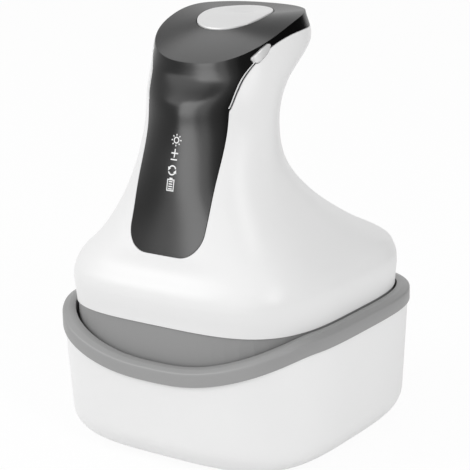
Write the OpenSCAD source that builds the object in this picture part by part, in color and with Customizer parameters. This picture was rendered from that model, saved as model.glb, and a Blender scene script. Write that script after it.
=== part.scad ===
// Cordless scalp massager with four turning heads, standing in its cup-shaped stand.
// Millimetres. +Z is up, the glossy front panel faces -Y, the origin is under the middle of the stand.

/* [Stand] */
// Outer width of the stand across its rim
stand_w = 120; // [119:0.5:126]
// How much narrower each side of the stand is at its foot
stand_draft = 1.7; // [0.5:0.1:3]
// Squareness of the stand and of the skirt, where 2 is round
squareness = 3.7; // [3.4:0.1:4.4]
// Radius of the stand's rounded bottom edge
foot_edge_r = 12; // [8:0.5:14]
// Wall thickness of the stand
cup_wall = 3; // [2:0.1:3.6]
// Thickness of the stand's floor
floor_t = 3.2; // [2.4:0.1:5]
// Height of the rim ring's outer band
rim_h = 6.6; // [5:0.1:8]
// Width of the rim ring from outside to inside
rim_w = 4.7; // [4:0.1:5.4]
// How far the rim ring stands proud of the cup wall
rim_proud = 0.7; // [0.3:0.1:1.2]
// How far the rim dips at the front
rim_dip = 13.9; // [8:0.1:15]
// Half of the angle that the dip takes up, seen from above
rim_dip_angle = 60; // [50:1:75]
// Height of the rubber feet under the stand
foot_h = 0.8; // [0.6:0.1:1.5]
// Radius of one rubber foot
foot_r = 5; // [3:0.5:7]

/* [Massage heads] */
// Free width between neighbouring massage heads
head_play = 4; // [2:0.5:10]
// Thickness of a head's round base
head_disc_t = 6; // [5:0.5:8]
// Length of the soft fingers
finger_len = 14; // [10:0.5:16]
// Radius of a finger at its root
finger_root_r = 3; // [2.4:0.1:3.2]
// Radius of a finger's rounded tip
finger_tip_r = 1.7; // [1.2:0.1:2]
// Number of fingers in the outer circle
outer_fingers = 10; // [8:1:12]
// Number of fingers in the inner circle
inner_fingers = 5; // [4:1:6]
// Free height between the finger tips and the stand's floor
tip_clearance = 8; // [4:0.5:12]

/* [Gear train] */
// Free width between the head gears' tips and the housing's wall
gear_room = 2.35; // [1.5:0.05:4]
// Teeth on each head gear
head_teeth = 32; // [31:1:32]
// Module of the drive gear and its pinion
drive_module = 1; // [0.9:0.05:1]
// Teeth on the drive gear over the first head gear
drive_teeth = 40; // [36:1:40]
// Teeth on the motor pinion
pinion_teeth = 16; // [14:1:16]
// Pressure angle of all teeth
pressure_angle = 25; // [20:1:25]
// Play between meshing teeth
backlash = 0.25; // [0.15:0.01:0.35]
// Thickness of the head gears
head_gear_t = 6; // [4:0.5:6.5]
// Thickness of the drive gear
drive_gear_t = 4; // [3:0.25:4.5]
// Radius of the spindles
spindle_r = 3; // [2.5:0.1:3.5]

/* [Housing] */
// Height of the grey lower housing
housing_h = 23.5; // [23.5:0.5:27]
// Gap between the housing and the rim ring
stand_gap = 1; // [0.8:0.1:1.6]
// How far the white skirt stands proud of the housing
skirt_proud = 0.5; // [0.2:0.1:0.8]
// Wall of the lower housing
housing_wall = 2.6; // [2:0.1:2.8]
// Floor of the lower housing
housing_floor = 3; // [2.5:0.1:3.5]
// Thickness of the gearbox plate
plate_t = 2.5; // [2:0.1:3]

/* [Body] */
// Height of the straight skirt
skirt_h = 15.5; // [14:0.5:18]
// Height from the parting line to the narrowest part of the grip
grip_up = 69; // [66:0.5:72]
// Height from the parting line to the brow line at the back of the head
brow_up = 111.1; // [106:0.1:114]
// Height from the parting line to the middle of the head's top
top_up = 109.8; // [106:0.1:116]
// Width of the grip
grip_w = 56.1; // [52:0.1:60]
// Distance of the grip's front from the axis
grip_front = 37.7; // [36:0.1:40]
// Distance of the grip's back from the axis
grip_back = 7.1; // [5:0.1:12]
// Width of the head
head_w = 58.4; // [54:0.1:62]
// Distance of the head's front from the axis
head_front = 29.8; // [28:0.1:36]
// Distance of the head's back from the axis
head_back = 28; // [26:0.5:36]
// How far the band under the brow leans in
band_lean = 1.8; // [1:0.1:3.5]
// How far the brow line drops from the sides to the front
brow_drop = 11.2; // [8:0.1:14]
// Wall of the white shell
shell_wall = 3; // [2.4:0.1:3.2]
// Wall of the glossy front panel
panel_t = 1.8; // [1.4:0.1:2]
// Width of the panel's front strip at its lower end
strip_w = 34; // [30:0.5:38]
// How much wider each side of the strip gets towards the head
strip_flare = 1.4; // [0:0.1:2]
// Height of the strip's lower end over the parting line
strip_low = 26.3; // [24:0.1:32]
// Gap between the panel and the shell
seam_gap = 0.25; // [0.15:0.01:0.4]

/* [Buttons] */
// Length of the button on top
button_l = 31.1; // [28:0.1:36]
// Width of the button on top
button_w = 27.7; // [24:0.1:30]
// Gap round the buttons
button_gap = 0.35; // [0.2:0.05:0.5]
// Travel of the button on top
button_travel = 1.2; // [0.6:0.1:1.5]
// Travel of the side buttons
side_travel = 0.8; // [0.4:0.1:1]
// How far the buttons stand proud
button_proud = 0.5; // [0.2:0.1:0.9]
// Radius of the finger dish in the top button
dish_r = 8.5; // [7:0.5:10]

/* [Drive and battery] */
// Radius of the geared motor
motor_r = 12; // [10.5:0.5:12.5]
// Height of the motor's reduction stage
reducer_h = 14; // [10:1:16]
// Height of the motor can
motor_h = 28; // [24:1:28]
// Radius of the motor's output shaft
shaft_r = 1.5; // [1.25:0.05:2]
// Radius of the battery cell
cell_r = 9.2; // [7:0.1:9.4]
// Length of the battery cell
cell_l = 50; // [42:1:50]

/* [Hidden] */

$fn = 64;
eps = 0.01;
run_gap = 0.05;      // running clearance on a spindle
seat_gap = 0.02;     // clearance of a piece that is pressed in
slack = 0.3;         // clearance between pieces that are set beside each other

// Levels
cup_z = foot_h;
floor_z = cup_z + floor_t;
head_gap = 0.8;
ledge_z = floor_z + tip_clearance + finger_len + head_disc_t + head_gap + 0.2;
seam_z = ledge_z + housing_h;
rim_step = 0.4;
rim_z = seam_z - rim_step;
gasket_t = 0.3;
housing_top = seam_z - gasket_t;
shoulder_z = seam_z + skirt_h;
grip_z = seam_z + grip_up;
brow_z = seam_z + brow_up;
top_z = seam_z + top_up;

// Half widths
stand_a = stand_w / 2;
cup_a = stand_a - rim_proud;
rim_in_a = stand_a - rim_w;
housing_a = rim_in_a - stand_gap;
housing_in_a = housing_a - housing_wall;
skirt_a = housing_a + skirt_proud;
rib_a = housing_a - 3;
lip_gap = 0.25;
lip_t = 1.5;
lip_a = skirt_a - shell_wall - lip_gap;
lip_in_a = lip_a - lip_t;
boss_r = 3.6;
tooth_tip = 0.9;     // height of a tooth over the pitch circle, in modules

// Gear levels and places
head_module = (housing_in_a - gear_room) / (head_teeth + tooth_tip);
head_pitch = head_module * head_teeth;
head_d = head_pitch - head_play;
head_half = head_pitch / 2;
boss_h = 2.5;
inner_floor_z = ledge_z + housing_floor;
gear_z = inner_floor_z + boss_h + 0.2;
drive_z = gear_z + head_gear_t;
plate_z = drive_z + drive_gear_t + 1.4;
plate_top = plate_z + plate_t;
head_at = [[-1, -1], [1, -1], [1, 1], [-1, 1]] * head_half;
drive_reach = drive_module * (drive_teeth + pinion_teeth) / 2;
motor_xy = head_at[0] + [1, 1] * drive_reach / sqrt(2);
screw_turns = [-90, 0, 180];
screw_at = [for (a = screw_turns) (lip_in_a - boss_r - slack) * [cos(a), sin(a)]];

// ---------- body form ----------

ring_n = 48;
cup_n = 72;

// Proportions of the flare: height, front, back and width as shares of the way from grip to skirt,
// then squareness
flare = [
    [0.056, 0.856, 0.955, 0.952, 3.7],
    [0.222, 0.673, 0.671, 0.639, 3.15],
    [0.444, 0.438, 0.323, 0.312, 2.8],
    [0.704, 0.269, 0.081, 0.08, 2.26]
];
grip_round = 1.9;
head_round = 2.4;
band_h = 10.4;

function mix(a, b, t) = a + (b - a) * t;

// Stations of the body: height, front, back, half width, squareness
stations = concat(
    [
        [seam_z, -skirt_a, skirt_a, skirt_a, squareness],
        [shoulder_z, -skirt_a, skirt_a, skirt_a, squareness - 0.1]
    ],
    [for (f = flare) [
        mix(shoulder_z, grip_z, f[0]),
        -mix(grip_front, skirt_a, f[1]),
        mix(grip_back, skirt_a, f[2]),
        mix(grip_w / 2, skirt_a, f[3]),
        f[4]
    ]],
    [
        [grip_z, -grip_front, grip_back, grip_w / 2, grip_round],
        [mix(grip_z, brow_z, 0.455), -mix(grip_front, head_front, 0.27),
            mix(grip_back, head_back, 0.34), mix(grip_w, head_w, 0.5) / 2, grip_round],
        [brow_z - band_h, -head_front, head_back, head_w / 2, head_round],
        [brow_z, -head_front + band_lean / 2, head_back - band_lean, head_w / 2 - band_lean, head_round]
    ]
);

// Smooth curve through one column of a table, by its first column
function step_slope(t, c, i) = (t[i + 1][c] - t[i][c]) / (t[i + 1][0] - t[i][0]);
function knot_slope(t, c, i) =
    i == 0 ? step_slope(t, c, 0)
    : i == len(t) - 1 ? step_slope(t, c, i - 1)
    : (step_slope(t, c, i - 1) * (t[i + 1][0] - t[i][0]) + step_slope(t, c, i) * (t[i][0] - t[i - 1][0]))
        / (t[i + 1][0] - t[i - 1][0]);
function curve_in(t, c, v, i) =
    let (h = t[i + 1][0] - t[i][0], s = (v - t[i][0]) / h)
    t[i][c] * (2 * s^3 - 3 * s^2 + 1) + knot_slope(t, c, i) * h * (s^3 - 2 * s^2 + s)
    + t[i + 1][c] * (3 * s^2 - 2 * s^3) + knot_slope(t, c, i + 1) * h * (s^3 - s^2);
function curve(t, c, v, i = 0) =
    (i >= len(t) - 2 || v <= t[i + 1][0]) ? curve_in(t, c, v, i) : curve(t, c, v, i + 1);

// Point on a unit superellipse at a polar angle
function unit_point(angle, n) =
    [cos(angle), sin(angle)] * pow(pow(abs(cos(angle)), n) + pow(abs(sin(angle)), n), -1 / n);
function square_ring(a, n, count) = [for (k = [0 : count - 1]) a * unit_point(360 * k / count, n)];

// The brow line falls away towards the front
brow_start = 16.4;
brow_reach = 38;
function brow_fall(y) = -brow_drop * pow(max(0, (brow_start - y) / brow_reach), 1.8);

// Middle of the brow ring, which the dome closes over
dome_y = (head_back - band_lean - head_front + band_lean / 2) / 2;
dome_power = 1.5;
// One ring of the body at a station height, drawn in by inset; the dome's rings also shrink by share
function body_ring(v, share = 1, inset = 0) =
    let (
        front = curve(stations, 1, v),
        back = curve(stations, 2, v),
        half_w = curve(stations, 3, v) - inset,
        n = curve(stations, 4, v),
        rise = max(0, (v - grip_z) / (brow_z - grip_z))
    )
    [for (k = [0 : ring_n - 1])
        let (
            p = unit_point(360 * k / ring_n, n),
            y = (front + back) / 2 + ((back - front) / 2 - inset) * p[1],
            z = v + pow(rise, 1.5) * brow_fall(y)
        )
        [
            half_w * p[0] * share,
            dome_y + (y - dome_y) * share,
            mix(z, top_z, 1 - pow(share, dome_power)) - inset * rise
        ]
    ];

// Height of the dome over a point of the plan
function dome_height(x, y) =
    let (
        half_l = (head_back + head_front) / 2 - 0.75 * band_lean,
        share = min(1, max(0.01, pow(
            pow(abs(x) / (head_w / 2 - band_lean), head_round) + pow(abs(y - dome_y) / half_l, head_round),
            1 / head_round))),
        brow = brow_z + brow_fall(dome_y + (y - dome_y) / share)
    )
    mix(brow, top_z, 1 - pow(share, dome_power));

// Depth of the front face at a height and a distance from the middle
function front_depth(v, x) =
    let (
        front = curve(stations, 1, v),
        back = curve(stations, 2, v),
        n = curve(stations, 4, v)
    )
    (front + back) / 2 - (back - front) / 2 * pow(1 - pow(abs(x) / curve(stations, 3, v), n), 1 / n);

skirt_levels = [mix(seam_z, shoulder_z, 0.85), shoulder_z];
flare_levels = [for (s = [0.028, 0.056, 0.11, 0.165, 0.222, 0.3, 0.37, 0.444, 0.57, 0.704, 0.85, 1])
    mix(shoulder_z, grip_z, s)];
head_levels = [for (s = [0.2, 0.4, 0.55, 0.66, 0.76, 0.88, 1]) mix(grip_z, brow_z, s)];
dome_shares = [0.9, 0.78, 0.62, 0.42, 0.2, 0.02];

function body_rings(inset, below) = concat(
    [[for (p = body_ring(seam_z, 1, inset)) p - [0, 0, below]]],
    [for (v = concat(skirt_levels, flare_levels, head_levels)) body_ring(v, 1, inset)],
    [for (s = dome_shares) body_ring(brow_z, s, inset)]
);
// The same round the side buttons only
function brow_rings(inset) = concat(
    [for (s = [0.55, 0.66, 0.76, 0.88, 1]) body_ring(mix(grip_z, brow_z, s), 1, inset)],
    [for (s = [0.9, 0.78, 0.62]) body_ring(brow_z, s, inset)]
);

// Faces between two rings of count points
function ring_faces(low, high, count) = [for (k = [0 : count - 1])
    let (next = (k + 1) % count)
    each [
        [low * count + k, high * count + k, high * count + next],
        [low * count + k, high * count + next, low * count + next]
    ]];

// A solid between the first and the last of a stack of rings
module rings_solid(rings) {
    count = len(rings[0]);
    last = len(rings) - 1;
    polyhedron(
        points = [for (r = rings) each r],
        faces = concat(
            [for (i = [0 : last - 1]) each ring_faces(i, i + 1, count)],
            [[for (k = [0 : count - 1]) k]],
            [[for (k = [count - 1 : -1 : 0]) last * count + k]]
        )
    );
}

// The body's form, drawn in by inset and reaching below the parting line
module body_form(inset = 0, below = 0) rings_solid(body_rings(inset, below));

// Side view of the seam between panel and shell: depth and height over the parting line
seam_line = [
    [-32, 74.5], [-31.3, 77], [-29.6, 79.8], [-28, 83.5], [-25.6, 87.9], [-22.8, 92.2], [-19.9, 95.8], [-17.2, 98.5],
    [-14.3, 100.7], [-10.4, 102.6], [-6, 103.9], [-0.9, 104.8], [4.8, 105.3], [15.8, 105.5], [45, 105.6]
];
strip_corner_r = 9.5;
strip_back = 20;
strip_top = seam_z + seam_line[2][1];
// Half width of the strip at a height
function strip_half(z) =
    strip_w / 2 + strip_flare * (z - seam_z - strip_low - strip_corner_r) / (strip_top - seam_z - strip_low - strip_corner_r);

// Everything that belongs to the glossy panel, grown by grow
module panel_zone(grow = 0) {
    far = 100;
    rotate([90, 0, 90]) translate([0, 0, -far]) linear_extrude(2 * far) offset(delta = grow)
        polygon(concat(
            [[-far, seam_line[0][1] + seam_z]],
            [for (p = seam_line) [p[0], p[1] + seam_z]],
            [[45, top_z + far], [-far, top_z + far]]
        ));
    translate([0, -strip_back, 0]) rotate([90, 0, 0]) linear_extrude(far) offset(delta = grow) hull() {
        for (side = [-1, 1]) translate([side * (strip_w / 2 - strip_corner_r), seam_z + strip_low + strip_corner_r])
            circle(r = strip_corner_r, $fn = 40);
        translate([-strip_half(strip_top), strip_top]) square([2 * strip_half(strip_top), 1]);
    }
}

// Hooks that hold the panel behind the shell's ledge
ledge_w = 1.4;
hook_share = [0.56, 0.73, 0.9];
module panel_hooks() {
    for (side = [-1, 1], share = hook_share) {
        v = mix(seam_z, grip_z, share);
        hook_in = strip_half(v) - ledge_w - slack;
        depth = front_depth(v, hook_in) + 1.5 * shell_wall + slack;
        hull() {
            translate([side * (hook_in - 0.6) - 0.6, depth - 5, v - 2]) cube([1.2, 6, 4]);
            translate([side * (hook_in + 0.3) - 0.3, depth, v - 2]) cube([0.6, 0.5, 4]);
        }
    }
}

button_y = 2.8;
module button_outline(grow = 0) polygon([for (k = [0 : 2 * button_n - 1]) button_point(180 * k / button_n, grow)]);

// Outline of a side button seen from the side: depth and height over the parting line
module side_outline(grow = 0) {
    offset(r = grow) hull() {
        translate([-19.2, 97.5 + seam_z]) circle(r = 1.25, $fn = 24);
        translate([-16, 100.2 + seam_z]) circle(r = 1.2, $fn = 24);
        translate([-13.9, 102.1 + seam_z]) circle(r = 0.6, $fn = 20);
    }
}
// Block of that outline; room lets a pressed button move in
module side_prism(side, grow = 0, room = 0) {
    rotate([90, 0, 90]) translate([0, 0, side > 0 ? side_root - room : -side_root - 20])
        linear_extrude(20 + room) side_outline(grow);
}
side_root = head_w / 2 - 11.5;

// Opening for the charging socket in the back of the skirt
port_z = seam_z + 8;
port_w = 9.6;
port_h = 3.9;
flap_w = 15;
flap_h = 9;
flap_t = 1.2;
flap_gap = 0.15;
module port_slot(w, h, depth, grow = 0) {
    translate([0, skirt_a + 1, port_z]) rotate([90, 0, 0]) linear_extrude(depth + 1)
        offset(r = grow) hull() for (side = [-1, 1]) translate([side * (w - h) / 2, 0]) circle(d = h, $fn = 28);
}
module flap_zone(grow = 0) {
    corner = 1.5;
    translate([0, skirt_a + 5, port_z]) rotate([90, 0, 0]) linear_extrude(5 + flap_t + grow)
        offset(r = corner + grow) square([flap_w - 2 * corner, flap_h - 2 * corner], center = true);
}
// Round lower edge that the flap turns on
module flap_barrel(grow = 0) {
    half_l = flap_w * 0.3 + grow;
    translate([-half_l, skirt_a, port_z - flap_h / 2]) rotate([0, 90, 0])
        cylinder(r = flap_t / 2 + grow, h = 2 * half_l, $fn = 28);
}

module at_screws() for (p = screw_at) translate(p) children();

// ---------- stand ----------

function smooth(t) = let (c = min(1, max(0, t))) c * c * (3 - 2 * c);
// Angle from the front, and the rim's height there
function off_front(angle) = abs(angle > 90 ? 270 - angle : angle + 90);
function rim_wave(angle) = -rim_dip * (1 - smooth(pow(off_front(angle) / rim_dip_angle, 1.4)));

// A ring of the stand: half width, height and share of the rim's wave
function cup_ring(row) = [for (k = [0 : cup_n - 1])
    let (angle = 360 * k / cup_n)
    concat(row[0] * unit_point(angle, squareness), row[1] + row[2] * rim_wave(angle))];
module stand_cup() {
    foot_a = cup_a - stand_draft;
    inner_low_a = foot_a - cup_wall;
    inner_r = foot_edge_r - cup_wall;
    outer = [for (a = [0 : 15 : 90])
        [foot_a - foot_edge_r * (1 - sin(a)), cup_z + foot_edge_r * (1 - cos(a)), 0]];
    inner = [for (a = [90 : -18 : 0])
        [inner_low_a - inner_r * (1 - sin(a)), floor_z + inner_r * (1 - cos(a)), 0]];
    rows = concat(
        outer,
        [[cup_a, rim_z - rim_h, 1], [cup_a - cup_wall, rim_z - rim_h, 1]],
        inner
    );
    color("whitesmoke") {
        rings_solid([for (r = rows) cup_ring(r)]);
        // Ribs that carry the massager's housing
        for (turn = [0 : 90 : 270], side = [-1, 1]) rotate(turn) translate([0, side * rib_a * 0.58, 0]) hull() {
            translate([rib_a - 1.5, -1, ledge_z - 1]) cube([foot_a - rib_a - 1, 2, 1]);
            translate([rib_a + 0.5, -1, floor_z + foot_edge_r]) cube([foot_a - rib_a - 3, 2, 1]);
        }
    }
}

module stand_rim() {
    rows = [
        [stand_a, rim_z - rim_h, 1], [stand_a, rim_z - 1.7, 1], [stand_a - 0.5, rim_z - 1, 1],
        [stand_a - 2, rim_z - 0.35, 1], [rim_in_a + 0.5, rim_z, 1], [rim_in_a, rim_z - 0.4, 1],
        [rim_in_a, rim_z - rim_h, 1]
    ];
    color("gray") polyhedron(
        points = [for (r = rows) each cup_ring(r)],
        faces = [for (i = [0 : len(rows) - 1]) each ring_faces(i, (i + 1) % len(rows), cup_n)]
    );
}

module stand_feet() {
    foot_at = 0.62 * stand_a;
    color("dimgray") for (x = [-1, 1], y = [-1, 1]) translate([x * foot_at, y * foot_at, 0])
        cylinder(r = foot_r, h = foot_h);
}

// ---------- shells ----------

rib_reach = 8;
module main_shell() {
    color("whitesmoke") difference() {
        union() {
            difference() {
                body_form();
                body_form(shell_wall, 1);
            }
            // Bosses for the case screws
            intersection() {
                body_form(1);
                for (i = [0 : len(screw_at) - 1]) translate(screw_at[i]) rotate(screw_turns[i]) {
                    translate([0, 0, plate_top]) cylinder(r = boss_r, h = 40, $fn = 28);
                    for (side = [-1, 1]) rotate(side * 60) hull() {
                        translate([0, -0.75, seam_z + 5]) cube([boss_r + 1, 1.5, 30]);
                        translate([0, -0.75, seam_z + 12]) cube([boss_r + rib_reach, 1.5, 20]);
                    }
                }
            }
        }
        // Pilot holes
        at_screws() translate([0, 0, plate_top - 1]) cylinder(r = screw_r + seat_gap, h = 13, $fn = 28);
        // Rebate that the panel sits in, and the opening inside it
        difference() {
            panel_zone(seam_gap);
            body_form(panel_t + 0.1);
        }
        panel_zone(-ledge_w);
        for (side = [-1, 1]) side_prism(side, button_gap, side_travel + slack);
        translate([0, 0, top_z - 8.5]) linear_extrude(20) button_outline(flange_w + slack);
        port_slot(port_w, port_h, 12);
        flap_zone(flap_gap);
        flap_barrel(flap_gap);
    }
}

module front_panel() {
    color("black") difference() {
        union() {
            difference() {
                intersection() {
                    body_form();
                    panel_zone();
                }
                body_form(panel_t);
            }
            intersection() {
                body_form(panel_t - 0.4);
                panel_hooks();
            }
        }
        translate([0, 0, top_z - 20]) linear_extrude(40) button_outline(button_gap);
        for (side = [-1, 1]) side_prism(side, button_gap, side_travel + slack);
    }
}

module lower_housing() {
    color("gray") difference() {
        union() {
            difference() {
                translate([0, 0, ledge_z]) linear_extrude(housing_h - gasket_t)
                    polygon(square_ring(housing_a, squareness, cup_n));
                translate([0, 0, inner_floor_z]) linear_extrude(housing_h)
                    polygon(square_ring(housing_in_a, squareness, cup_n));
            }
            // Lip that locates the shell
            translate([0, 0, housing_top - 2]) linear_extrude(4.6) difference() {
                polygon(square_ring(lip_a, squareness, cup_n));
                polygon(square_ring(lip_in_a, squareness, cup_n));
            }
            translate([0, 0, housing_top - 2]) linear_extrude(2) difference() {
                polygon(square_ring(housing_in_a + 0.5, squareness, cup_n));
                polygon(square_ring(lip_in_a, squareness, cup_n));
            }
            for (p = head_at) translate([p[0], p[1], inner_floor_z - 1]) cylinder(r = bush_r + 1.8, h = boss_h + 1);
            at_screws() translate([0, 0, inner_floor_z - 1]) cylinder(r = boss_r, h = plate_z - inner_floor_z + 1);
        }
        for (p = head_at) translate([p[0], p[1], ledge_z - 1]) cylinder(r = bush_r, h = housing_h);
        at_screws() {
            translate([0, 0, ledge_z - 1]) cylinder(r = screw_r + 0.2, h = housing_h + 2);
            translate([0, 0, ledge_z - 1]) cylinder(r = screw_head_r + 0.3, h = 1 + screw_sunk);
        }
    }
}

module seam_gasket() {
    color("black") translate([0, 0, housing_top]) linear_extrude(gasket_t) difference() {
        polygon(square_ring(housing_a - 0.4, squareness, cup_n));
        polygon(square_ring(skirt_a - shell_wall + 0.1, squareness, cup_n));
    }
}

// ---------- gearbox ----------

bush_r = 5;
bush_l = 3;
screw_r = 1.5;
screw_head_r = 2.7;
screw_sunk = 3;
clamp_ear = motor_r + 5.5;
clamp_turn = -45;

// Outline of a spur gear with involute flanks
function involute(base_r, roll) = base_r * [cos(roll) + roll * PI / 180 * sin(roll), sin(roll) - roll * PI / 180 * cos(roll)];
function roll_at(base_r, r) = sqrt(max(0, pow(r / base_r, 2) - 1)) * 180 / PI;
function turn2(p, angle) = [p[0] * cos(angle) - p[1] * sin(angle), p[0] * sin(angle) + p[1] * cos(angle)];
function gear_points(m, teeth) =
    let (
        pitch_r = m * teeth / 2,
        base_r = pitch_r * cos(pressure_angle),
        tip_r = pitch_r + tooth_tip * m,
        root_r = pitch_r - 1.2 * m,
        flank_low = roll_at(base_r, max(base_r, root_r)),
        flank_high = roll_at(base_r, tip_r),
        at_pitch = involute(base_r, roll_at(base_r, pitch_r)),
        half_tooth = 90 / teeth - backlash / pitch_r * 45 / PI,
        shift = -half_tooth - atan2(at_pitch[1], at_pitch[0]),
        flank = [for (s = [0 : 0.25 : 1]) turn2(involute(base_r, mix(flank_low, flank_high, s)), shift)],
        root = turn2([root_r, 0], shift + atan2(involute(base_r, flank_low)[1], involute(base_r, flank_low)[0])),
        lower = root_r < base_r ? concat([root], flank) : flank,
        upper = [for (i = [len(lower) - 1 : -1 : 0]) [lower[i][0], -lower[i][1]]]
    )
    [for (k = [0 : teeth - 1]) for (p = concat(lower, upper)) turn2(p, 360 * k / teeth)];

module gear(m, teeth, h) linear_extrude(h) polygon(gear_points(m, teeth));

module head_gear(i) {
    half_tooth_turn = i % 2 == 0 ? 0 : 180 / head_teeth;
    color("ivory") translate(head_at[i]) {
        translate([0, 0, gear_z]) rotate(half_tooth_turn) gear(head_module, head_teeth, head_gear_t);
        if (i == 0) translate([0, 0, drive_z - eps]) rotate(45) gear(drive_module, drive_teeth, drive_gear_t + eps);
        translate([0, 0, head_bore_z]) cylinder(r = spindle_r, h = plate_top - 0.4 - head_bore_z);
        translate([0, 0, drive_z - eps]) cylinder(r = spindle_r + 1.5, h = plate_z - 0.2 - drive_z + eps);
    }
}

module gearbox_plate() {
    color("silver") difference() {
        union() {
            translate([0, 0, plate_z]) linear_extrude(plate_t)
                polygon(square_ring(housing_in_a - slack, squareness, cup_n));
            // Pedestals for the charging board
            for (side = [-1, 1]) translate([side * 5 - 1.5, port_in_y - 9, plate_top - eps])
                cube([3, 6, board_z - plate_top + eps]);
        }
        for (p = head_at) translate([p[0], p[1], plate_z - 1]) cylinder(r = spindle_r + run_gap, h = plate_t + 2);
        translate([motor_xy[0], motor_xy[1], plate_z - 1]) cylinder(r = shaft_r + 2, h = plate_t + 2);
        at_screws() translate([0, 0, plate_z - 1]) cylinder(r = screw_r + 0.2, h = plate_t + 2);
        at_clamp() translate([0, 0, plate_z - 1]) cylinder(r = clamp_screw_r + seat_gap, h = plate_t + 2);
    }
}

module case_screws() {
    color("silver") at_screws() {
        translate([0, 0, ledge_z + screw_sunk]) mirror([0, 0, 1]) difference() {
            cylinder(r = screw_head_r, h = 2.2);
            translate([0, 0, 1]) cylinder(r = 1.2, h = 2, $fn = 6);
        }
        translate([0, 0, ledge_z + screw_sunk - 0.1]) cylinder(r = screw_r, h = plate_top + 11 - ledge_z - screw_sunk);
    }
}

module shaft_bushes() {
    color("goldenrod") for (p = head_at) translate([p[0], p[1], gear_z - 0.2 - bush_l]) difference() {
        cylinder(r = bush_r - seat_gap, h = bush_l);
        translate([0, 0, -1]) cylinder(r = spindle_r + run_gap, h = bush_l + 2);
    }
}

module shaft_seals() {
    seal_t = gear_z - 0.2 - bush_l - ledge_z - 0.2;
    color("black") for (p = head_at) translate([p[0], p[1], ledge_z + 0.1]) difference() {
        cylinder(r = bush_r - seat_gap, h = seal_t);
        translate([0, 0, -1]) cylinder(r = spindle_r + 0.1, h = seal_t + 2);
    }
}

// ---------- heads ----------

head_top = ledge_z - head_gap;
head_low = head_top - head_disc_t;
head_bore_z = head_top - 4;

module finger(lean) {
    tip_z = -finger_len + finger_tip_r;
    rotate([0, lean, 0]) {
        translate([0, 0, tip_z]) cylinder(r1 = finger_tip_r, r2 = finger_root_r, h = -tip_z + 1);
        translate([0, 0, tip_z]) sphere(r = finger_tip_r);
    }
}

module massage_head(i) {
    head_r = head_d / 2;
    color("dimgray") translate([head_at[i][0], head_at[i][1], 0]) {
        difference() {
            rotate_extrude() polygon([
                [0, head_low], [head_r - 4, head_low], [head_r - 1.2, head_low + 1],
                [head_r, head_low + 2.6], [head_r - 0.4, head_low + 3.6], [bush_r + 3, head_top], [0, head_top]
            ]);
            translate([0, 0, head_bore_z]) cylinder(r = spindle_r + seat_gap, h = head_disc_t);
        }
        for (k = [0 : outer_fingers - 1]) rotate(360 * k / outer_fingers)
            translate([head_r - finger_root_r - 1.8, 0, head_low]) finger(-4);
        for (k = [0 : inner_fingers - 1]) rotate(360 * (k + 0.5) / inner_fingers)
            translate([0.42 * head_r, 0, head_low]) finger(0);
    }
}

// ---------- motor ----------

clamp_screw_r = 1.25;
clamp_h = 6;
shaft_up = 5;
can_step = 2.5;
module at_motor(z) translate([motor_xy[0], motor_xy[1], z]) children();
module at_clamp() for (side = [-1, 1])
    translate([motor_xy[0], motor_xy[1], 0]) rotate(clamp_turn) translate([side * clamp_ear, 0, 0]) children();

module motor_pinion() {
    mesh_turn = 45 + 180 + (pinion_teeth % 2 == 0 ? 180 / pinion_teeth : 0);
    color("goldenrod") at_motor(0) {
        translate([0, 0, drive_z + 0.4]) rotate(mesh_turn) gear(drive_module, pinion_teeth, drive_gear_t);
        translate([0, 0, drive_z + 0.4]) cylinder(r = shaft_r, h = plate_top + shaft_up - drive_z - 0.4);
    }
}

module motor_reducer() {
    color("silver") at_motor(plate_top) difference() {
        cylinder(r = motor_r, h = reducer_h);
        translate([0, 0, -1]) cylinder(r = shaft_r + run_gap, h = 1 + shaft_up + 0.4);
    }
}

module motor_can() {
    color("gainsboro") at_motor(plate_top + reducer_h) {
        cylinder(r = motor_r - 0.3, h = motor_h - 2);
        translate([0, 0, motor_h - 2 - eps]) cylinder(r = motor_r - can_step, h = 2 + eps);
    }
}

module motor_clamp() {
    color("dimgray") difference() {
        union() {
            at_motor(plate_top) cylinder(r = motor_r + 2.2, h = clamp_h);
            hull() at_clamp() translate([0, 0, plate_top]) cylinder(r = 3.4, h = 2.4, $fn = 32);
        }
        at_motor(plate_top - 1) cylinder(r = motor_r + 0.1, h = clamp_h + 2);
        at_clamp() translate([0, 0, plate_top - 1]) cylinder(r = clamp_screw_r + 0.15, h = clamp_h);
    }
}

module clamp_screws() {
    color("silver") at_clamp() {
        translate([0, 0, plate_z + 0.3]) cylinder(r = clamp_screw_r, h = plate_t + 2.2);
        translate([0, 0, plate_top + 2.4]) cylinder(r = 2.3, h = 1.6);
    }
}

// ---------- battery, board, frame ----------

frame_z = plate_top + reducer_h + motor_h;
frame_t = 1.5;
cell_y = motor_xy[1] - 8.5;
cell_z = frame_z + frame_t;
deck_z = cell_z + cell_l + 0.6;
cradle_r = cell_r + 0.2;
cradle_wall = 1.4;
board_y = cell_y - cradle_r - 4;
pcb_t = 1.2;
pcb_w = 28;
pcb_h = 50;
board_top = deck_z - 8;
switch_h = 3.6;
stem_h = 0.6;
light_low = 50.2;
light_step = 5.43;

module battery_cell() {
    color("steelblue") translate([0, cell_y, cell_z]) {
        cylinder(r = cell_r, h = cell_l - 0.8);
        translate([0, 0, cell_l - 0.8 - eps]) cylinder(r = 0.35 * cell_r, h = 0.8 + eps);
    }
}

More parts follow.
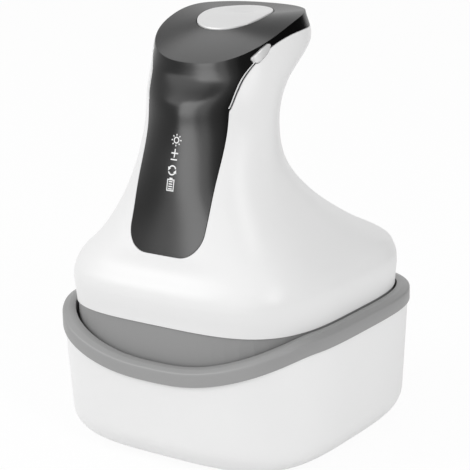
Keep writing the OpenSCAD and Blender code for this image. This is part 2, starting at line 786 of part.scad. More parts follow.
module inner_frame() {
    arm_w = 2 * (side_root - side_travel - 1.6);
    color("lightgray") {
        // Cradle open to the front
        translate([0, cell_y, frame_z]) difference() {
            cylinder(r = cradle_r + cradle_wall, h = deck_z - frame_z);
            translate([0, 0, frame_t]) cylinder(r = cradle_r, h = deck_z - frame_z);
            translate([-cradle_r - 3, -2 * cradle_r, frame_t]) cube([2 * cradle_r + 6, 1.6 * cradle_r, deck_z - frame_z]);
        }
        // Deck that carries the switches, and its tongue under the top button
        translate([-arm_w / 2, cell_y - cradle_r + 1, deck_z]) cube([arm_w, 2 * cradle_r - 1, frame_t]);
        translate([-6, cell_y, deck_z]) cube([12, button_y + 4 - cell_y, frame_t]);
        // Struts to the control board
        for (side = [-1, 1], z = [frame_z, board_top - 3])
            translate([side * (cradle_r + 1) - 1, board_y + pcb_t, z])
                cube([2, cell_y - 1 - board_y - pcb_t, frame_t]);
    }
}

module control_board() {
    color("seagreen") translate([-pcb_w / 2, board_y, board_top - pcb_h]) cube([pcb_w, pcb_t, pcb_h]);
    color("black") translate([-4, board_y - 1.2 + eps, board_top - 10.5]) cube([8, 1.2, 8]);
}

module indicator_lights() {
    color("white") for (k = [0 : 3])
        translate([-1.5, board_y - 1, seam_z + light_low + light_step * k]) cube([3, 1, 3]);
}

// ---------- buttons ----------

plunger_r = 3;
flange_drop = 0.8;
flange_w = 1.4;
switch_top = deck_z + frame_t + switch_h + stem_h;

// Outline of the top button, rounder at the front, as a ring of points
button_n = 40;
function button_point(angle, grow = 0) =
    let (p = unit_point(angle, 2.15), taper = 1 - 0.065 * p[1])
    [(button_w / 2 * taper + grow) * p[0], button_y + (button_l / 2 + grow) * p[1]];
function dish_depth(x, y) =
    let (r = norm([x, y - dish_y]) / dish_r)
    r < 1 ? 0.9 * (1 - r * r) * (1 - r * r) : 0;
dish_y = 8;
function button_ring(share, grow, drop) = [for (k = [0 : button_n - 1])
    let (
        edge = button_point(360 * k / button_n, grow),
        x = edge[0] * share,
        y = button_y + (edge[1] - button_y) * share
    )
    [x, y, dome_height(x, y) + (drop == 0 ? button_proud - dish_depth(x, y) : -drop)]];

module top_button() {
    flange_top = panel_t + flange_drop;
    flange_low = flange_top + 1.3;
    rings = concat(
        [button_ring(0.05, 0, flange_low + 0.6), button_ring(0.6, 0, flange_low + 0.6)],
        [for (drop = [flange_low, flange_top]) button_ring(1, flange_w, drop)],
        [button_ring(1, 0, flange_top)],
        [button_ring(1, 0, -button_proud + 0.4)],
        [for (share = [0.97, 0.9, 0.78, 0.64, 0.5, 0.38, 0.26, 0.14, 0.04]) button_ring(share, 0, 0)]
    );
    color("silver") {
        rings_solid(rings);
        translate([0, button_y, switch_top + button_travel + 0.05])
            cylinder(r = plunger_r, h = dome_height(0, button_y) - flange_low - switch_top - button_travel);
    }
}

module top_switch() {
    color("dimgray") translate([0, button_y, deck_z + frame_t]) {
        translate([-3, -3, 0]) cube([6, 6, switch_h]);
        translate([0, 0, switch_h - eps]) cylinder(r = 1.7, h = stem_h + eps);
    }
}

module side_button(side) {
    color("silver") {
        intersection() {
            rings_solid(brow_rings(-button_proud));
            side_prism(side);
        }
        intersection() {
            rings_solid(brow_rings(panel_t + slack));
            side_prism(side, 1.2);
            panel_zone(-ledge_w - slack);
        }
    }
}

module side_switches() {
    stem_end = side_root - side_travel - 0.1;
    deck_top = deck_z + frame_t;
    stem_z = seam_z + 97.8;
    color("dimgray") for (side = [-1, 1]) translate([0, -18.1, 0]) {
        translate([side * (stem_end - stem_h - switch_h / 2) - switch_h / 2, -1.7, deck_top])
            cube([switch_h, 3.4, stem_z + 0.2 - deck_top]);
        translate([side * (stem_end - stem_h / 2), 0, stem_z]) rotate([0, 90, 0])
            cylinder(r = 0.8, h = stem_h + 2 * eps, center = true);
    }
}

// ---------- charging port ----------

socket_h = 3.2;
socket_w = 8.9;
socket_l = 7;
port_in_y = skirt_a - shell_wall;
board_z = port_z - socket_h / 2 - pcb_t;

module charge_board() {
    color("seagreen") translate([-7, port_in_y - 13, board_z]) cube([14, 12.6, pcb_t]);
}

module charge_socket() {
    color("silver") translate([0, port_in_y + 1.2, port_z]) rotate([90, 0, 0]) linear_extrude(socket_l) difference() {
        hull() for (side = [-1, 1]) translate([side * (socket_w - socket_h) / 2, 0]) circle(d = socket_h, $fn = 32);
        hull() for (side = [-1, 1]) translate([side * (socket_w - socket_h) / 2, 0]) circle(d = socket_h - 0.7, $fn = 32);
    }
}

module port_flap() {
    color("gainsboro") {
        intersection() {
            flap_zone();
            translate([0, 0, seam_z]) linear_extrude(skirt_h) polygon(square_ring(skirt_a, squareness, cup_n));
        }
        flap_barrel();
    }
}

stand_cup();
stand_rim();
stand_feet();
main_shell();
front_panel();
lower_housing();
seam_gasket();
gearbox_plate();
case_screws();
shaft_bushes();
shaft_seals();
head_gear(0);  // head_gear_1
head_gear(1);  // head_gear_2
head_gear(2);  // head_gear_3
head_gear(3);  // head_gear_4
massage_head(0);  // massage_head_1
massage_head(1);  // massage_head_2
massage_head(2);  // massage_head_3
massage_head(3);  // massage_head_4
motor_pinion();
motor_reducer();
motor_can();
motor_clamp();
clamp_screws();
battery_cell();
inner_frame();
control_board();
indicator_lights();
top_button();
top_switch();
side_button(1);  // side_button_right
side_button(-1);  // side_button_left
side_switches();
charge_board();
charge_socket();
port_flap();
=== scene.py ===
"""Cordless scalp massager in its cup-shaped stand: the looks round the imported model.
Shapes are worked out in millimetres and stored in metres. +Z is up and the glossy panel faces -Y."""

import math

import bmesh
import bpy
from mathutils import Matrix, Vector


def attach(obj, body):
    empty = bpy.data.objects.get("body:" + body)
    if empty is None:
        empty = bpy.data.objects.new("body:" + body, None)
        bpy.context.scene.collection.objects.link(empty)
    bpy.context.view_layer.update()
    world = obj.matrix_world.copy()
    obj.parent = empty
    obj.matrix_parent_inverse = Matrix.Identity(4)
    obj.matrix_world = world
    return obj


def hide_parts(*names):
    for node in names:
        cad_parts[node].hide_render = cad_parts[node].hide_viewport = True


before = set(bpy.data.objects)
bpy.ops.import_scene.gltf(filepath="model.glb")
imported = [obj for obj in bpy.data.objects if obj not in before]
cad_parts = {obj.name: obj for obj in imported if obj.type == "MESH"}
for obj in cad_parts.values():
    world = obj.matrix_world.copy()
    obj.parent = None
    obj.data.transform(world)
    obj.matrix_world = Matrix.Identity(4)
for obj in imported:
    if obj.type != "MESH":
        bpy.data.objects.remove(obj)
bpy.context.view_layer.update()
scene = bpy.context.scene
MM = 0.001

# ---------- camera ----------

AZIMUTH, ELEVATION, ROLL = (math.radians(a) for a in (34.935, 15.782, -1.169))
TARGET = Vector((0, 0, 78.455))
DISTANCE, ASIDE, FOCAL_PX, PICTURE_PX, SENSOR = 697.744, 0.622, 1755.769, 470, 36


def toward(azimuth, elevation):
    """Unit vector at an azimuth, from the front round to +X, and at an elevation."""
    level = math.cos(elevation)
    return Vector((math.sin(azimuth) * level, -math.cos(azimuth) * level, math.sin(elevation)))


def make_camera():
    back = toward(AZIMUTH, ELEVATION)
    right = Vector((math.cos(AZIMUTH), math.sin(AZIMUTH), 0))
    up = back.cross(right)
    turned_right = math.cos(ROLL) * right + math.sin(ROLL) * up
    turned_up = back.cross(turned_right)
    data = bpy.data.cameras.new("product_camera")
    data.sensor_width = SENSOR
    data.lens = FOCAL_PX / PICTURE_PX * SENSOR
    data.clip_start, data.clip_end = 0.01, 20
    camera = bpy.data.objects.new("product_camera", data)
    scene.collection.objects.link(camera)
    place = (TARGET - ASIDE * right + back * DISTANCE) * MM
    turn = Matrix((turned_right, turned_up, back)).transposed().to_4x4()
    camera.matrix_world = Matrix.Translation(place) @ turn
    scene.camera = camera


# ---------- finishes ----------


def group_socket(tree, name, way, kind, value=None):
    socket = tree.interface.new_socket(name=name, in_out=way, socket_type="NodeSocket" + kind)
    if value is not None:
        socket.default_value = value


def make_moulded_grain():
    """Fine tooling grain with slow changes of shade and sheen, shared by all plastics, rubbers and metals."""
    tree = bpy.data.node_groups.new("moulded_grain", "ShaderNodeTree")
    group_socket(tree, "Tint", "INPUT", "Color")
    group_socket(tree, "Sheen", "INPUT", "Float", 0.4)
    group_socket(tree, "Spread", "INPUT", "Float", 0.05)
    group_socket(tree, "Fineness", "INPUT", "Float", 2500)
    group_socket(tree, "Tint", "OUTPUT", "Color")
    group_socket(tree, "Sheen", "OUTPUT", "Float")
    group_socket(tree, "Relief", "OUTPUT", "Float")
    nodes, links = tree.nodes, tree.links
    given, made = nodes.new("NodeGroupInput"), nodes.new("NodeGroupOutput")
    where = nodes.new("ShaderNodeTexCoord")
    fine, slow = nodes.new("ShaderNodeTexNoise"), nodes.new("ShaderNodeTexNoise")
    slow.inputs["Scale"].default_value, slow.inputs["Detail"].default_value = 28, 3
    fine.inputs["Detail"].default_value = 2
    for noise in (fine, slow):
        links.new(where.outputs["Object"], noise.inputs["Vector"])
    links.new(given.outputs["Fineness"], fine.inputs["Scale"])
    centred = nodes.new("ShaderNodeMath")
    centred.operation, centred.inputs[1].default_value = "SUBTRACT", 0.5
    links.new(slow.outputs["Fac"], centred.inputs[0])
    spread = nodes.new("ShaderNodeMath")
    spread.operation = "MULTIPLY_ADD"
    links.new(centred.outputs[0], spread.inputs[0])
    links.new(given.outputs["Spread"], spread.inputs[1])
    links.new(given.outputs["Sheen"], spread.inputs[2])
    links.new(spread.outputs[0], made.inputs["Sheen"])
    shade = nodes.new("ShaderNodeMapRange")
    for name, value in (("From Min", 0.3), ("From Max", 0.7), ("To Min", 0.985), ("To Max", 1.0)):
        shade.inputs[name].default_value = value
    links.new(slow.outputs["Fac"], shade.inputs["Value"])
    tint = nodes.new("ShaderNodeVectorMath")
    tint.operation = "SCALE"
    links.new(given.outputs["Tint"], tint.inputs[0])
    links.new(shade.outputs["Result"], tint.inputs["Scale"])
    links.new(tint.outputs["Vector"], made.inputs["Tint"])
    links.new(fine.outputs["Fac"], made.inputs["Relief"])
    return tree


MOULDED_GRAIN = make_moulded_grain()
GRAIN_DEPTH = 0.00003


def grey(level):
    return (level, level, level)


def finish_of(name, tint, sheen, metal=0.0, spread=0.05, fineness=2500, relief=0.08, **own):
    """A material from the shared grain; own holds plain values for the shader's sockets."""
    material = bpy.data.materials.new(name)
    material.use_nodes = True
    nodes, links = material.node_tree.nodes, material.node_tree.links
    shader = nodes["Principled BSDF"]
    shader.inputs["Metallic"].default_value = metal
    for socket, value in own.items():
        shader.inputs[socket.replace("_", " ")].default_value = value
    grain = nodes.new("ShaderNodeGroup")
    grain.node_tree = MOULDED_GRAIN
    grain.inputs["Tint"].default_value = (*tint, 1)
    grain.inputs["Sheen"].default_value = sheen
    grain.inputs["Spread"].default_value = spread
    grain.inputs["Fineness"].default_value = fineness
    bump = nodes.new("ShaderNodeBump")
    bump.inputs["Strength"].default_value = relief
    bump.inputs["Distance"].default_value = GRAIN_DEPTH
    links.new(grain.outputs["Tint"], shader.inputs["Base Color"])
    links.new(grain.outputs["Sheen"], shader.inputs["Roughness"])
    links.new(grain.outputs["Relief"], bump.inputs["Height"])
    links.new(bump.outputs["Normal"], shader.inputs["Normal"])
    return material


WHITE_SHELL = finish_of("satin_white_abs", grey(0.80), 0.38)
WHITE_CUP = finish_of("satin_white_stand", grey(0.82), 0.42)
BLACK_GLOSS = finish_of("piano_black", grey(0.0025), 0.25, spread=0.02, relief=0.01, Specular_IOR_Level=0.2)
SILVER_KEY = finish_of("silver_lacquer", grey(0.66), 0.3, metal=0.2, fineness=6000, relief=0.12)
GREY_RIM = finish_of("mid_grey_abs", grey(0.30), 0.42)
GREY_TRAY = finish_of("grey_housing_abs", grey(0.27), 0.5)
PRINT = finish_of("light_print", grey(0.80), 0.5)
SILICONE = finish_of("soft_silicone", grey(0.09), 0.55, fineness=1800, relief=0.2)
RUBBER = finish_of("black_rubber", grey(0.02), 0.7, fineness=1800, relief=0.25)
FLAP_RUBBER = finish_of("pale_rubber", grey(0.72), 0.6, fineness=1800, relief=0.2)
STEEL = finish_of("bright_steel", grey(0.58), 0.28, metal=1.0, relief=0.05)
CASE_STEEL = finish_of("plated_motor_case", grey(0.5), 0.34, metal=1.0, fineness=900)
BRASS = finish_of("brass", (0.6, 0.4, 0.13), 0.3, metal=1.0)
BRONZE = finish_of("sintered_bronze", (0.42, 0.22, 0.08), 0.5, metal=1.0, fineness=3500, relief=0.3)
NYLON = finish_of("gear_nylon", (0.74, 0.7, 0.58), 0.45)
PLATE_METAL = finish_of("gearbox_zinc", grey(0.45), 0.45, metal=1.0, fineness=1200, relief=0.15)
FRAME_ABS = finish_of("frame_abs", grey(0.5), 0.5)
CLAMP_ABS = finish_of("clamp_nylon", grey(0.06), 0.5)
SOLDER_GREEN = finish_of("green_solder_mask", (0.02, 0.16, 0.06), 0.35, spread=0.15, fineness=700)
CELL_WRAP = finish_of("blue_cell_wrap", (0.03, 0.12, 0.42), 0.28, fineness=500)
LENS_WHITE = finish_of("diffused_lens", grey(0.85), 0.3)
SWITCH_BLACK = finish_of("switch_body", grey(0.03), 0.45)

NODE_FINISH = {
    "stand_feet": RUBBER, "lower_housing": GREY_TRAY, "seam_gasket": RUBBER, "gearbox_plate": PLATE_METAL,
    "case_screws": STEEL, "shaft_bushes": BRONZE, "shaft_seals": RUBBER, "motor_pinion": BRASS,
    "motor_reducer": STEEL, "motor_can": CASE_STEEL, "motor_clamp": CLAMP_ABS, "clamp_screws": STEEL,
    "battery_cell": CELL_WRAP, "inner_frame": FRAME_ABS, "control_board": SOLDER_GREEN,
    "indicator_lights": LENS_WHITE, "top_switch": SWITCH_BLACK, "side_switches": SWITCH_BLACK,
    "charge_board": SOLDER_GREEN, "charge_socket": STEEL, "port_flap": FLAP_RUBBER,
    **{f"head_gear_{i}": NYLON for i in (1, 2, 3, 4)},
    **{f"massage_head_{i}": SILICONE for i in (1, 2, 3, 4)},
}


def dress(piece, material):
    piece.data.materials.clear()
    piece.data.materials.append(material)


# ---------- measures of the moulded forms, in millimetres ----------

SEAM_Z, SHOULDER_Z, GRIP_Z, BROW_Z, TOP_Z = 56.5, 72.0, 125.5, 167.6, 166.3
SQUARENESS = 3.7
SKIRT_A, GRIP_FRONT, GRIP_BACK, GRIP_W = 54.8, 37.7, 7.1, 56.1
HEAD_FRONT, HEAD_BACK, HEAD_W, BAND_LEAN, BAND_H = 29.8, 28, 58.4, 1.8, 10.4
GRIP_ROUND, HEAD_ROUND, DOME_POWER = 1.9, 2.4, 1.5
BROW_DROP, BROW_START, BROW_REACH, BROW_POWER, BROW_RISE_POWER = 11.2, 16.4, 38, 1.8, 1.5
SHELL_WALL, PANEL_T, SEAM_GAP, LEDGE_W, CLEARANCE, REBATE_PLAY = 3.0, 1.8, 0.25, 1.4, 0.3, 0.1
STRIP_W, STRIP_FLARE, STRIP_LOW, STRIP_CORNER_R, STRIP_REACH = 34, 1.4, 26.3, 9.5, (-120, -20)
# Share of the way up the flare, shares of the skirt's front, back and side left there, squareness
FLARE = ((0.056, 0.856, 0.955, 0.952, 3.7), (0.222, 0.673, 0.671, 0.639, 3.15),
         (0.444, 0.438, 0.323, 0.312, 2.8), (0.704, 0.269, 0.081, 0.08, 2.26))
# Depth and height over the parting line, from the strip's top to the back of the head
SEAM_LINE = ((-32, 74.5), (-31.3, 77), (-29.6, 79.8), (-28, 83.5), (-25.6, 87.9), (-22.8, 92.2),
             (-19.9, 95.8), (-17.2, 98.5), (-14.3, 100.7), (-10.4, 102.6), (-6, 103.9), (-0.9, 104.8),
             (4.8, 105.3), (15.8, 105.5), (45, 105.6))
STRIP_TOP = SEAM_Z + SEAM_LINE[2][1]
BUTTON_Y, BUTTON_L, BUTTON_W, BUTTON_GAP, BUTTON_PROUD = 2.8, 31.1, 27.7, 0.35, 0.5
BUTTON_ROUND, BUTTON_TAPER, DISH_Y, DISH_R, DISH_DEPTH = 2.15, 0.065, 8, 8.5, 0.9
FLANGE_DROP, FLANGE_W, FLANGE_T, STEM_R = 0.8, 1.4, 1.3, 3
SWITCH_TOP, BUTTON_TRAVEL, STEM_PLAY = 152.4, 1.2, 0.05
# Depth, height over the parting line and radius of the circles that a side button's outline goes round
SIDE_CIRCLES = ((-19.2, 97.5, 1.25), (-16, 100.2, 1.2), (-13.9, 102.1, 0.6))
SIDE_ROOT, SIDE_REACH, SIDE_TRAVEL, SIDE_PROUD, SIDE_FLANGE_W = HEAD_W / 2 - 11.5, 20, 0.8, 0.2, 1.2
PORT_Z, PORT_HALF, PORT_R, FLAP_W, FLAP_H, FLAP_T, FLAP_GAP = SEAM_Z + 8, 3.0, 1.95, 15, 9, 1.2, 0.15
SEAT_CORNER_R, BARREL_HALF = 1.1, 4.5
# Edges of the bright line inside the seam, how proud and how deep it is, and where it ends
TAIL_EDGES, TAIL_SKIN, TAIL_DEPTH = (-0.3, -0.52), -0.06, 0.5
TAIL_FRONT, TAIL_BACK, TAIL_TOP = -40, -17, SEAM_Z + 96.6


def mix(a, b, t):
    return a + (b - a) * t


STATIONS = (
    (SEAM_Z, -SKIRT_A, SKIRT_A, SKIRT_A, SQUARENESS),
    (SHOULDER_Z, -SKIRT_A, SKIRT_A, SKIRT_A, SQUARENESS - 0.1),
    *((mix(SHOULDER_Z, GRIP_Z, f[0]), -mix(GRIP_FRONT, SKIRT_A, f[1]), mix(GRIP_BACK, SKIRT_A, f[2]),
       mix(GRIP_W / 2, SKIRT_A, f[3]), f[4]) for f in FLARE),
    (GRIP_Z, -GRIP_FRONT, GRIP_BACK, GRIP_W / 2, GRIP_ROUND),
    (mix(GRIP_Z, BROW_Z, 0.455), -mix(GRIP_FRONT, HEAD_FRONT, 0.27), mix(GRIP_BACK, HEAD_BACK, 0.34),
     mix(GRIP_W, HEAD_W, 0.5) / 2, GRIP_ROUND),
    (BROW_Z - BAND_H, -HEAD_FRONT, HEAD_BACK, HEAD_W / 2, HEAD_ROUND),
    (BROW_Z, -HEAD_FRONT + BAND_LEAN / 2, HEAD_BACK - BAND_LEAN, HEAD_W / 2 - BAND_LEAN, HEAD_ROUND),
)
DOME_Y = (HEAD_BACK - BAND_LEAN - HEAD_FRONT + BAND_LEAN / 2) / 2


def curve(table, column, value):
    """Smooth curve through one column of a table, by its first column."""
    last = len(table) - 1
    i = next((k for k in range(last - 1) if value <= table[k + 1][0]), last - 1)

    def step(k):
        return (table[k + 1][column] - table[k][column]) / (table[k + 1][0] - table[k][0])

    def slope(k):
        if k in (0, last):
            return step(0 if k == 0 else last - 1)
        before, after = table[k][0] - table[k - 1][0], table[k + 1][0] - table[k][0]
        return (step(k - 1) * after + step(k) * before) / (before + after)

    h = table[i + 1][0] - table[i][0]
    s = (value - table[i][0]) / h
    return (table[i][column] * (2 * s**3 - 3 * s**2 + 1) + slope(i) * h * (s**3 - 2 * s**2 + s)
            + table[i + 1][column] * (3 * s**2 - 2 * s**3) + slope(i + 1) * h * (s**3 - s**2))


def unit_point(angle, n):
    c, s = math.cos(angle), math.sin(angle)
    r = (abs(c) ** n + abs(s) ** n) ** (-1 / n)
    return c * r, s * r


def brow_fall(y):
    return -BROW_DROP * (max(0, BROW_START - y) / BROW_REACH) ** BROW_POWER


def body_point(angle, level, share, inset):
    """Point of the moulded body at a station height; share draws the dome's rings in to its top."""
    front, back, n = curve(STATIONS, 1, level), curve(STATIONS, 2, level), curve(STATIONS, 4, level)
    rise = max(0, (level - GRIP_Z) / (BROW_Z - GRIP_Z))
    ux, uy = unit_point(angle, n)
    y = (front + back) / 2 + ((back - front) / 2 - inset) * uy
    z = level + rise**BROW_RISE_POWER * brow_fall(y)
    return Vector(((curve(STATIONS, 3, level) - inset) * ux * share, DOME_Y + (y - DOME_Y) * share,
                   mix(z, TOP_Z, 1 - share**DOME_POWER) - inset * rise))


def dome_height(x, y):
    """Height of the dome's surface over a point."""
    half_w, half_l = HEAD_W / 2 - BAND_LEAN, (HEAD_BACK + HEAD_FRONT) / 2 - 0.75 * BAND_LEAN
    share = ((abs(x) / half_w) ** HEAD_ROUND + (abs(y - DOME_Y) / half_l) ** HEAD_ROUND) ** (1 / HEAD_ROUND)
    share = min(1, max(0.01, share))
    return mix(BROW_Z + brow_fall(DOME_Y + (y - DOME_Y) / share), TOP_Z, 1 - share**DOME_POWER)


def front_depth(x, z):
    """Depth of the body's front surface at a distance from the middle and a height."""
    front, back, n = curve(STATIONS, 1, z), curve(STATIONS, 2, z), curve(STATIONS, 4, z)
    return (front + back) / 2 - (back - front) / 2 * (1 - (abs(x) / curve(STATIONS, 3, z)) ** n) ** (1 / n)


# ---------- making and joining pieces ----------


def to_object(bm, name):
    bmesh.ops.remove_doubles(bm, verts=bm.verts, dist=0.0005)
    bmesh.ops.recalc_face_normals(bm, faces=bm.faces)
    bmesh.ops.scale(bm, vec=(MM, MM, MM), verts=bm.verts)
    mesh = bpy.data.meshes.new(name)
    bm.to_mesh(mesh)
    bm.free()
    piece = bpy.data.objects.new(name, mesh)
    scene.collection.objects.link(piece)
    return piece


def spun(name, count, steps, place, closed=False):
    """A column of count points is spun round Z, and each goes where place(row, angle) says."""
    bm = bmesh.new()
    column = [bm.verts.new((1, 0, i)) for i in range(count)]
    ends = column[1:] + column[:1] if closed else column[1:]
    line = [bm.edges.new(pair) for pair in zip(column, ends)]
    bmesh.ops.spin(bm, geom=column + line, cent=(0, 0, 0), axis=(0, 0, 1), dvec=(0, 0, 0),
                   angle=math.tau, steps=steps, use_merge=True)
    for v in bm.verts:
        v.co = place(round(v.co.z), math.atan2(v.co.y, v.co.x))
    bmesh.ops.remove_doubles(bm, verts=bm.verts, dist=0.0005)
    rims = [e for e in bm.edges if e.is_boundary]
    if rims:
        bmesh.ops.holes_fill(bm, edges=rims)
    return to_object(bm, name)


def prism(name, outline, axis, low, high):
    """A flat outline in the plane across axis, extruded from low to high."""
    bm = bmesh.new()
    lift = {"x": lambda a, b: (low, a, b), "y": lambda a, b: (a, low, b), "z": lambda a, b: (a, b, low)}[axis]
    face = bm.faces.new([bm.verts.new(lift(*p)) for p in outline])
    grown = bmesh.ops.extrude_face_region(bm, geom=[face])["geom"]
    along = Vector([(high - low) * (axis == a) for a in "xyz"])
    bmesh.ops.translate(bm, vec=along, verts=[g for g in grown if isinstance(g, bmesh.types.BMVert)])
    return to_object(bm, name)


def carve(piece, tool, operation="DIFFERENCE"):
    """The tool is cut from the piece, joined to it or met with it, and then removed."""
    cut = piece.modifiers.new("carve", "BOOLEAN")
    cut.operation, cut.object, cut.solver = operation, tool, "MANIFOLD"
    view = bpy.context.evaluated_depsgraph_get()
    made = bpy.data.meshes.new_from_object(piece.evaluated_get(view))
    piece.modifiers.clear()
    piece.data = made
    bpy.data.objects.remove(tool)
    return piece


def soften(piece, angle=32, bevel=0.0):
    """Smooth shading with crisp edges, and a small round along them where bevel is given."""
    if bevel:
        rounding = piece.modifiers.new("edge_round", "BEVEL")
        rounding.width, rounding.segments, rounding.limit_method = bevel * MM, 2, "ANGLE"
        rounding.angle_limit = math.radians(angle)
        view = bpy.context.evaluated_depsgraph_get()
        piece.data = bpy.data.meshes.new_from_object(piece.evaluated_get(view))
        piece.modifiers.clear()
    piece.data.shade_smooth()
    piece.data.set_sharp_from_angle(angle=math.radians(angle))
    return piece


def install(piece, body, material, *nodes):
    """The piece gets its finish, rides on its body and stands for the CAD nodes that are named."""
    dress(piece, material)
    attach(piece, body)
    if nodes:
        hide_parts(*nodes)


def round_outline(a, b, radius, steps):
    turns = [math.tau * i / steps for i in range(steps)]
    return [(a + radius * math.cos(t), b + radius * math.sin(t)) for t in turns]


def rounded_outline(width, height, radius, x, z):
    corners = ((1, 1, 0), (-1, 1, 90), (-1, -1, 180), (1, -1, 270))
    return [(x + sx * (width / 2 - radius) + radius * math.cos(math.radians(start + d)),
             z + sz * (height / 2 - radius) + radius * math.sin(math.radians(start + d)))
            for sx, sz, start in corners for d in range(0, 91, 15)]


# ---------- body of the massager ----------

# Rows of the body: station height, and the share of the outline that is left as the dome closes
SKIRT_ROWS = [(SEAM_Z, 1), (SEAM_Z + 0.4, 1)]
SKIRT_ROWS += [(mix(SEAM_Z, SHOULDER_Z, s), 1) for s in (0.3, 0.6, 0.8, 0.9)]
FLARE_ROWS = [(mix(SHOULDER_Z, GRIP_Z, i / 44), 1) for i in range(45)]
HEAD_ROWS = [(mix(GRIP_Z, BROW_Z - 0.9, i / 34), 1) for i in range(1, 35)]
HEAD_ROWS += [(BROW_Z - 0.35, 1), (BROW_Z, 1)]
DRAWN_IN = (0.012, 0.035, 0.07, 0.12, 0.18, 0.25, 0.33, 0.42, 0.52, 0.63, 0.74, 0.85, 0.94, 1)
DOME_ROWS = [(BROW_Z, 1 - s) for s in DRAWN_IN]
BODY_ROWS = SKIRT_ROWS + FLARE_ROWS + HEAD_ROWS + DOME_ROWS
BODY_STEPS, BUTTON_STEPS, FAR = 160, 120, 100


def body_form(name, inset=0.0, below=0.0):
    """The body's closed form, drawn in by inset and reaching below the parting line."""
    def place(row, angle):
        level, share = BODY_ROWS[row]
        point = body_point(angle, level, share, inset)
        if row == 0:
            point.z -= below
        return point
    return spun(name, len(BODY_ROWS), BODY_STEPS, place)


def seam_outline(grow):
    """Side view of what belongs to the panel: the seam, grown outwards, closed far above and in front."""
    samples = [mix(SEAM_LINE[0][0], SEAM_LINE[-1][0], i / 90) for i in range(91)]
    line = [(y, curve(SEAM_LINE, 1, y) + SEAM_Z) for y in samples]
    grown = []
    for i, (y, z) in enumerate(line):
        before, after = line[max(0, i - 1)], line[min(len(line) - 1, i + 1)]
        dy, dz = after[0] - before[0], after[1] - before[1]
        length = math.hypot(dy, dz)
        grown.append((y + grow * dz / length, z - grow * dy / length))
    back, top = 60, 260
    return [(-FAR, grown[0][1])] + grown + [(back, grown[-1][1]), (back, top), (-FAR, top)]


def strip_outline(grow):
    """Front view of the strip that runs down the grip, round below and a little wider above."""
    half, low, r = STRIP_W / 2 + grow, SEAM_Z + STRIP_LOW - grow, STRIP_CORNER_R + grow
    top_half, over = half + STRIP_FLARE, STRIP_TOP + 1 + grow
    arc = [math.radians(a) for a in range(0, 91, 6)]
    left = [(-half + r - r * math.cos(a), low + r - r * math.sin(a)) for a in arc]
    right = [(half - r + r * math.sin(a), low + r - r * math.cos(a)) for a in arc]
    return left + right + [(top_half, STRIP_TOP), (top_half, over), (-top_half, over), (-top_half, STRIP_TOP)]


def panel_zone(name, grow=0.0):
    """Everything that belongs to the glossy panel, grown by grow."""
    zone = prism(name, seam_outline(grow), "x", -FAR, FAR)
    return carve(zone, prism(name + "_strip", strip_outline(grow), "y", *STRIP_REACH), "UNION")


def side_outline(grow=0.0):
    """Leaf-shaped outline of a side button: the hull round its circles, walked by direction."""
    points = []
    for i in range(72):
        a = math.tau * i / 72
        y, z, r = max(SIDE_CIRCLES, key=lambda c: c[0] * math.cos(a) + c[1] * math.sin(a) + c[2])
        points.append((y + (r + grow) * math.cos(a), z + SEAM_Z + (r + grow) * math.sin(a)))
    return points


def side_prism(name, side, grow=0.0, room=0.0):
    """Block of a side button's outline; room lets a pressed button move in."""
    low, high = sorted((side * (SIDE_ROOT - room), side * (SIDE_ROOT + SIDE_REACH)))
    return prism(name, side_outline(grow), "x", low, high)


def button_point(angle, grow=0.0):
    ux, uy = unit_point(angle, BUTTON_ROUND)
    half_w = BUTTON_W / 2 * (1 - BUTTON_TAPER * uy)
    return (half_w + grow) * ux, BUTTON_Y + (BUTTON_L / 2 + grow) * uy


def button_outline(grow):
    return [button_point(math.tau * i / BUTTON_STEPS, grow) for i in range(BUTTON_STEPS)]


def port_outline():
    """Long hole with round ends for the charging socket."""
    ends = [(1, d) for d in range(-90, 91, 15)] + [(-1, d) for d in range(90, 271, 15)]
    return [(PORT_HALF * side + PORT_R * math.cos(math.radians(d)),
             PORT_Z + PORT_R * math.sin(math.radians(d))) for side, d in ends]


def make_shell():
    shell = body_form("shell_moulding")
    carve(shell, body_form("shell_inside", SHELL_WALL, 1))
    carve(shell, carve(panel_zone("rebate", SEAM_GAP), body_form("rebate_floor", PANEL_T + REBATE_PLAY)))
    carve(shell, panel_zone("panel_opening", -LEDGE_W))
    for side in (-1, 1):
        carve(shell, side_prism("key_hole", side, BUTTON_GAP, SIDE_TRAVEL + CLEARANCE))
    carve(shell, prism("port_hole", port_outline(), "y", SKIRT_A - 12, SKIRT_A + 2))
    flap = rounded_outline(FLAP_W + 2 * FLAP_GAP, FLAP_H + 2 * FLAP_GAP, SEAT_CORNER_R, 0, PORT_Z)
    carve(shell, prism("flap_seat", flap, "y", SKIRT_A - FLAP_T - FLAP_GAP, SKIRT_A + 3))
    barrel = round_outline(SKIRT_A, PORT_Z - FLAP_H / 2, FLAP_T / 2 + FLAP_GAP, 28)
    barrel_half = BARREL_HALF + FLAP_GAP
    carve(shell, prism("barrel_seat", barrel, "x", -barrel_half, barrel_half))
    carve(shell, prism("flange_room", button_outline(FLANGE_W + CLEARANCE), "z", TOP_Z - 8.5, TOP_Z + 11.5))
    install(soften(shell), "massager", WHITE_SHELL, "main_shell")


def make_panel():
    panel = carve(panel_zone("glossy_panel"), body_form("panel_skin"), "INTERSECT")
    carve(panel, body_form("panel_inside", PANEL_T))
    carve(panel, prism("key_hole", button_outline(BUTTON_GAP), "z", TOP_Z - 14, TOP_Z + 14))
    for side in (-1, 1):
        carve(panel, side_prism("key_hole", side, BUTTON_GAP, SIDE_TRAVEL + CLEARANCE))
    install(soften(panel), "massager", BLACK_GLOSS, "front_panel")


